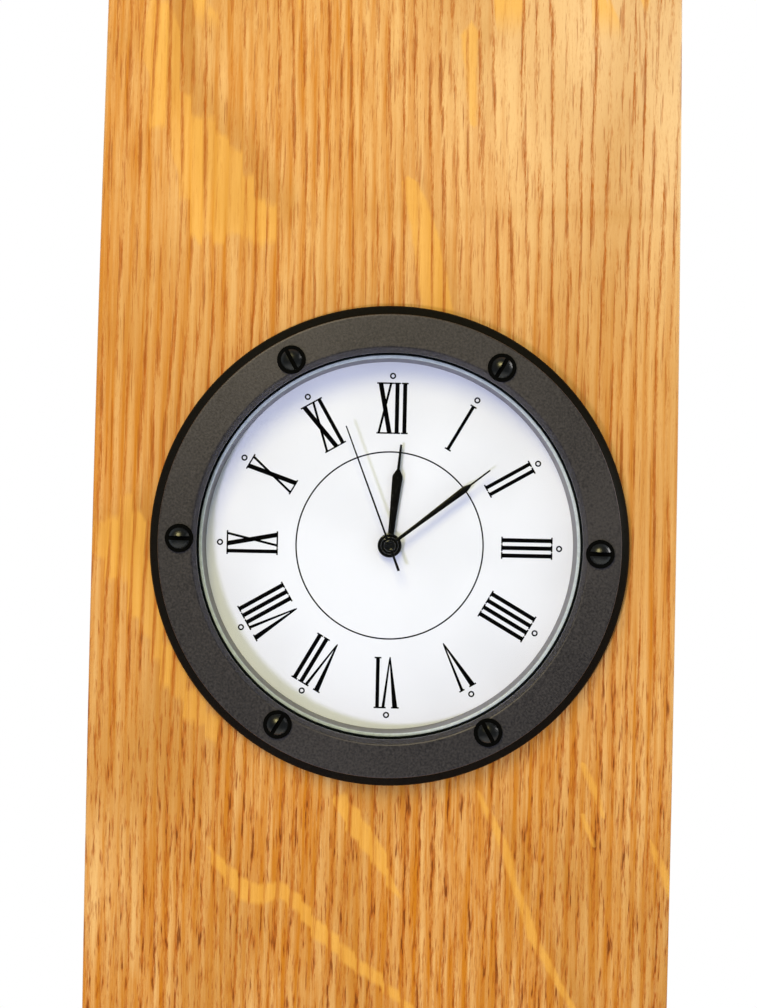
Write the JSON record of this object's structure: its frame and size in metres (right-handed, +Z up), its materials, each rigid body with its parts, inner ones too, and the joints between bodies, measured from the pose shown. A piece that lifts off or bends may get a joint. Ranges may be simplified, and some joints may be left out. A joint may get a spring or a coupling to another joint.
{
  "type": "barrel stave wall clock",
  "caption": "Wall clock made from a bowed oak barrel stave, with a round battery clock insert under glass in a screwed black bezel and a sawtooth hanger on its back.",
  "frame": {"origin": "root of the middle notch of the sawtooth hanger, where the wall nail bears", "axes": "+Z up along the hanging stave, +X to the right as seen from the front, -Y out of the dial towards the viewer, +Y towards the wall"},
  "size_m": [0.0858, 0.088, 0.914],
  "materials": {
    "varnished_oak": "quarter-sawn oak, honey gold, satin varnish",
    "plated_steel": "plated sheet steel",
    "gloss_black": "moulded black, glossy",
    "matte_charcoal": "fine matte charcoal",
    "clear_pane": "clear, flat, polished",
    "pale_grey_ring": "pale grey, satin",
    "white_dial": "white printed disc",
    "black_case": "moulded black",
    "grip_rubber": "black, ribbed",
    "movement_ivory": "moulded ivory",
    "train_brass": "bright brass",
    "magnet_grey": "dark sintered magnet",
    "copper_winding": "enamelled copper wire",
    "board_green": "green board",
    "chip_black": "black resin",
    "hand_black": "black, satin"
  },
  "bodies": {
    "stave_board": {"stave": "varnished_oak", "sawtooth_hanger": "plated_steel", "hanger_screw_left": "plated_steel", "hanger_screw_right": "plated_steel"},
    "clock_insert": {"bezel": "gloss_black", "bezel_face": "matte_charcoal", "bezel_screw_1": "gloss_black", "bezel_screw_2": "gloss_black", "bezel_screw_3": "gloss_black", "bezel_screw_4": "gloss_black", "bezel_screw_5": "gloss_black", "bezel_screw_6": "gloss_black", "crystal": "clear_pane", "dial_ring": "pale_grey_ring", "dial": "white_dial", "case": "black_case", "grip_ring": "grip_rubber", "front_plate": "movement_ivory", "middle_plate": "movement_ivory", "movement_cover": "black_case", "stator": "plated_steel", "coil_core": "plated_steel", "coil": "copper_winding", "circuit_board": "board_green", "quartz_can": "plated_steel", "timing_chip": "chip_black", "battery": "plated_steel", "contact_positive": "plated_steel", "contact_negative": "plated_steel"},
    "seconds_group": {"seconds_wheel": "train_brass", "second_hand": "hand_black"},
    "third_group": {"third_wheel": "train_brass"},
    "centre_group": {"centre_wheel": "train_brass"},
    "fifth_group": {"fifth_wheel": "train_brass"},
    "rotor_group": {"rotor": "magnet_grey"},
    "minutes_group": {"cannon_pinion": "train_brass", "minute_hand": "hand_black"},
    "motion_group": {"minute_wheel": "train_brass"},
    "hours_group": {"hour_wheel": "train_brass", "hour_hand": "hand_black"},
    "knob_group": {"setting_knob": "black_case"}
  },
  "joints": [
    {"name": "insert_pull", "type": "slide", "parent": "stave_board", "child": "clock_insert", "axis": [0, -1, 0], "range_m": [0, 0.025]},
    {"name": "second_turn", "type": "hinge", "parent": "clock_insert", "child": "seconds_group", "pos_m": [0.0008, -0.06, -0.31921], "axis": [0, 1, 0], "continuous": true},
    {"name": "third_turn", "type": "hinge", "parent": "clock_insert", "child": "third_group", "pos_m": [-0.00478, -0.06, -0.3198], "axis": [0, 1, 0], "continuous": true},
    {"name": "centre_turn", "type": "hinge", "parent": "clock_insert", "child": "centre_group", "pos_m": [0.0008, -0.06, -0.31921], "axis": [0, 1, 0], "continuous": true},
    {"name": "fifth_turn", "type": "hinge", "parent": "clock_insert", "child": "fifth_group", "pos_m": [0.00414, -0.06, -0.32222], "axis": [0, 1, 0], "continuous": true},
    {"name": "rotor_turn", "type": "hinge", "parent": "clock_insert", "child": "rotor_group", "pos_m": [0.00695, -0.06, -0.32475], "axis": [0, 1, 0], "continuous": true},
    {"name": "minute_turn", "type": "hinge", "parent": "clock_insert", "child": "minutes_group", "pos_m": [0.0008, -0.06, -0.31921], "axis": [0, 1, 0], "continuous": true},
    {"name": "motion_turn", "type": "hinge", "parent": "clock_insert", "child": "motion_group", "pos_m": [-0.00128, -0.06, -0.31561], "axis": [0, 1, 0], "continuous": true},
    {"name": "hour_turn", "type": "hinge", "parent": "clock_insert", "child": "hours_group", "pos_m": [0.0008, -0.06, -0.31921], "axis": [0, 1, 0], "continuous": true},
    {"name": "knob_turn", "type": "hinge", "parent": "clock_insert", "child": "knob_group", "pos_m": [-0.00336, -0.06, -0.312], "axis": [0, 1, 0], "continuous": true}
  ],
  "couplings": [
    {"joint": "third_turn", "follows": "second_turn", "ratio": -0.13333},
    {"joint": "centre_turn", "follows": "second_turn", "ratio": 0.016667},
    {"joint": "fifth_turn", "follows": "second_turn", "ratio": -5},
    {"joint": "rotor_turn", "follows": "second_turn", "ratio": 30},
    {"joint": "motion_turn", "follows": "minute_turn", "ratio": -0.33333},
    {"joint": "hour_turn", "follows": "minute_turn", "ratio": 0.083333},
    {"joint": "knob_turn", "follows": "minute_turn", "ratio": 1}
  ]
}
